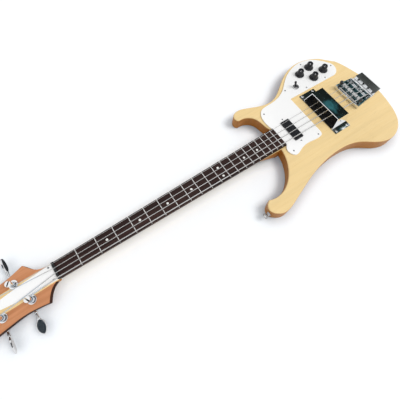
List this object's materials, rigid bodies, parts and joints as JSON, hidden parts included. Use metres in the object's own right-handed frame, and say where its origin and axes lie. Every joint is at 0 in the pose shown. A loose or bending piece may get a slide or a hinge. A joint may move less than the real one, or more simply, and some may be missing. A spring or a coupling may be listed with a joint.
{
  "type": "electric bass guitar",
  "caption": "Solid-body electric bass guitar with through neck, horned natural-wood body, white pickguard, raised bright pickup cover, knobs, switch, tailpiece with mute and geared tuners.",
  "frame": {"origin": "on the flat back of the body, on the centre line, under the line where the strings leave the saddles", "axes": "+X along the strings towards the tail, +Y towards the control side, +Z out of the face"},
  "size_m": [1.1696, 0.3368, 0.06],
  "materials": {
    "natural_wood": "clear lacquer over pale maple",
    "brown_wood": "clear lacquer over red-brown wood",
    "rosewood": "open-grained dark wood",
    "pearl": "pale round inlays",
    "nut_black": "smooth dark moulding",
    "white_plastic": "glossy white sheet",
    "black_plastic": "glossy black moulding",
    "chrome": "polished plate",
    "fret_steel": "drawn nickel steel",
    "plain_steel": "plain steel",
    "dark_steel": "blackened steel",
    "pot_metal": "stamped metal cases",
    "coil_wrap": "taped winding",
    "foam": "dark soft foam"
  },
  "bodies": {
    "instrument": {"neck_core": "natural_wood", "body_wing_treble": "natural_wood", "body_wing_bass": "natural_wood", "headstock_wing_treble": "brown_wood", "headstock_wing_bass": "brown_wood", "fretboard": "rosewood", "frets": "fret_steel", "position_dots": "pearl", "nut": "nut_black", "truss_rod": "plain_steel", "truss_rod_cover": "white_plastic", "tuner_bushes": "chrome", "tuner_plates": "chrome", "pickguard": "white_plastic", "neck_pickup_cover": "black_plastic", "neck_pickup_coil": "coil_wrap", "neck_pickup_poles": "dark_steel", "neck_pickup_screws": "chrome", "bridge_pickup_bobbin": "black_plastic", "bridge_pickup_poles": "dark_steel", "bridge_pickup_cover": "chrome", "pot_cases": "pot_metal", "control_nuts": "chrome", "switch_frame": "plain_steel", "jack_plate": "chrome", "jack_socket": "chrome", "tailpiece": "chrome", "bridge_frame": "chrome", "saddle_screws": "chrome", "strap_buttons": "chrome", "small_screws": "plain_steel", "large_screws": "chrome", "string_e": "fret_steel", "string_a": "fret_steel", "string_d": "fret_steel", "string_g": "fret_steel"},
    "tuner_key_e": {"tuner_key_e": "chrome"},
    "tuner_post_e": {"tuner_post_e": "chrome"},
    "tuner_key_a": {"tuner_key_a": "chrome"},
    "tuner_post_a": {"tuner_post_a": "chrome"},
    "tuner_key_d": {"tuner_key_d": "chrome"},
    "tuner_post_d": {"tuner_post_d": "chrome"},
    "tuner_key_g": {"tuner_key_g": "chrome"},
    "tuner_post_g": {"tuner_post_g": "chrome"},
    "neck_volume_knob": {"neck_volume_knob": "black_plastic"},
    "neck_tone_knob": {"neck_tone_knob": "black_plastic"},
    "bridge_volume_knob": {"bridge_volume_knob": "black_plastic"},
    "bridge_tone_knob": {"bridge_tone_knob": "black_plastic"},
    "switch": {"switch_lever": "chrome", "switch_tip": "black_plastic"},
    "saddle_e": {"saddle_e": "chrome"},
    "saddle_a": {"saddle_a": "chrome"},
    "saddle_d": {"saddle_d": "chrome"},
    "saddle_g": {"saddle_g": "chrome"},
    "truss_rod_nut": {"truss_rod_nut": "plain_steel"},
    "mute_thumbscrew_bass": {"mute_thumbscrew_bass": "dark_steel"},
    "mute_thumbscrew_treble": {"mute_thumbscrew_treble": "dark_steel"},
    "mute": {"mute_bar": "chrome", "mute_foam": "foam"}
  },
  "joints": [
    {"name": "tuner_key_turn_e", "type": "hinge", "parent": "instrument", "child": "tuner_key_e", "pos_m": [-0.94113, -0.0256, 0.01633], "axis": [0, -1, 0], "continuous": true},
    {"name": "tuner_post_turn_e", "type": "hinge", "parent": "instrument", "child": "tuner_post_e", "pos_m": [-0.93102, -0.0256, 0.03295], "axis": [-0.0489, 0, 0.9988], "continuous": true},
    {"name": "tuner_key_turn_a", "type": "hinge", "parent": "instrument", "child": "tuner_key_a", "pos_m": [-1.00305, -0.026, 0.01331], "axis": [0, -1, 0], "continuous": true},
    {"name": "tuner_post_turn_a", "type": "hinge", "parent": "instrument", "child": "tuner_post_a", "pos_m": [-0.99295, -0.026, 0.02992], "axis": [-0.0489, 0, 0.9988], "continuous": true},
    {"name": "tuner_key_turn_d", "type": "hinge", "parent": "instrument", "child": "tuner_key_d", "pos_m": [-1.02453, 0.0245, 0.01226], "axis": [0, 1, 0], "continuous": true},
    {"name": "tuner_post_turn_d", "type": "hinge", "parent": "instrument", "child": "tuner_post_d", "pos_m": [-1.01443, 0.0245, 0.02887], "axis": [-0.0489, 0, 0.9988], "continuous": true},
    {"name": "tuner_key_turn_g", "type": "hinge", "parent": "instrument", "child": "tuner_key_g", "pos_m": [-0.9626, 0.0238, 0.01528], "axis": [0, 1, 0], "continuous": true},
    {"name": "tuner_post_turn_g", "type": "hinge", "parent": "instrument", "child": "tuner_post_g", "pos_m": [-0.9525, 0.0238, 0.0319], "axis": [-0.0489, 0, 0.9988], "continuous": true},
    {"name": "neck_volume_knob_turn", "type": "hinge", "parent": "instrument", "child": "neck_volume_knob", "pos_m": [-0.077, 0.131, 0.036], "axis": [0, 0, 1], "range_deg": [0, 280]},
    {"name": "neck_tone_knob_turn", "type": "hinge", "parent": "instrument", "child": "neck_tone_knob", "pos_m": [-0.037, 0.137, 0.036], "axis": [0, 0, 1], "range_deg": [0, 280]},
    {"name": "bridge_volume_knob_turn", "type": "hinge", "parent": "instrument", "child": "bridge_volume_knob", "pos_m": [-0.05, 0.101, 0.036], "axis": [0, 0, 1], "range_deg": [0, 280]},
    {"name": "bridge_tone_knob_turn", "type": "hinge", "parent": "instrument", "child": "bridge_tone_knob", "pos_m": [-0.008, 0.108, 0.036], "axis": [0, 0, 1], "range_deg": [0, 280]},
    {"name": "switch_throw", "type": "hinge", "parent": "instrument", "child": "switch", "pos_m": [-0.116, 0.102, 0.034], "axis": [0.766, 0.6428, 0], "range_deg": [0, 34]},
    {"name": "saddle_slide_e", "type": "slide", "parent": "instrument", "child": "saddle_e", "axis": [-1, 0, 0], "range_m": [0, 0.006]},
    {"name": "saddle_slide_a", "type": "slide", "parent": "instrument", "child": "saddle_a", "axis": [-1, 0, 0], "range_m": [0, 0.006]},
    {"name": "saddle_slide_d", "type": "slide", "parent": "instrument", "child": "saddle_d", "axis": [-1, 0, 0], "range_m": [0, 0.006]},
    {"name": "saddle_slide_g", "type": "slide", "parent": "instrument", "child": "saddle_g", "axis": [-1, 0, 0], "range_m": [0, 0.006]},
    {"name": "truss_rod_turn", "type": "hinge", "parent": "instrument", "child": "truss_rod_nut", "pos_m": [-0.8731, 0, 0.0275], "axis": [-1, 0, 0], "range_deg": [-180, 180]},
    {"name": "mute_thumbscrew_turn_bass", "type": "hinge", "parent": "instrument", "child": "mute_thumbscrew_bass", "pos_m": [-0.0176, -0.036, 0.055], "axis": [0, 0, 1], "range_deg": [0, 1351]},
    {"name": "mute_thumbscrew_turn_treble", "type": "hinge", "parent": "instrument", "child": "mute_thumbscrew_treble", "pos_m": [-0.0176, 0.036, 0.055], "axis": [0, 0, 1], "range_deg": [0, 1351]},
    {"name": "mute_lift", "type": "slide", "parent": "instrument", "child": "mute", "axis": [0, 0, 1], "range_m": [0, 0.003]}
  ],
  "couplings": [
    {"joint": "tuner_post_turn_e", "follows": "tuner_key_turn_e", "ratio": 0.05},
    {"joint": "tuner_post_turn_a", "follows": "tuner_key_turn_a", "ratio": 0.05},
    {"joint": "tuner_post_turn_d", "follows": "tuner_key_turn_d", "ratio": -0.05},
    {"joint": "tuner_post_turn_g", "follows": "tuner_key_turn_g", "ratio": -0.05},
    {"joint": "mute_thumbscrew_turn_bass", "follows": "mute_lift", "rad_per_m": 7854},
    {"joint": "mute_thumbscrew_turn_treble", "follows": "mute_lift", "rad_per_m": 7854}
  ]
}
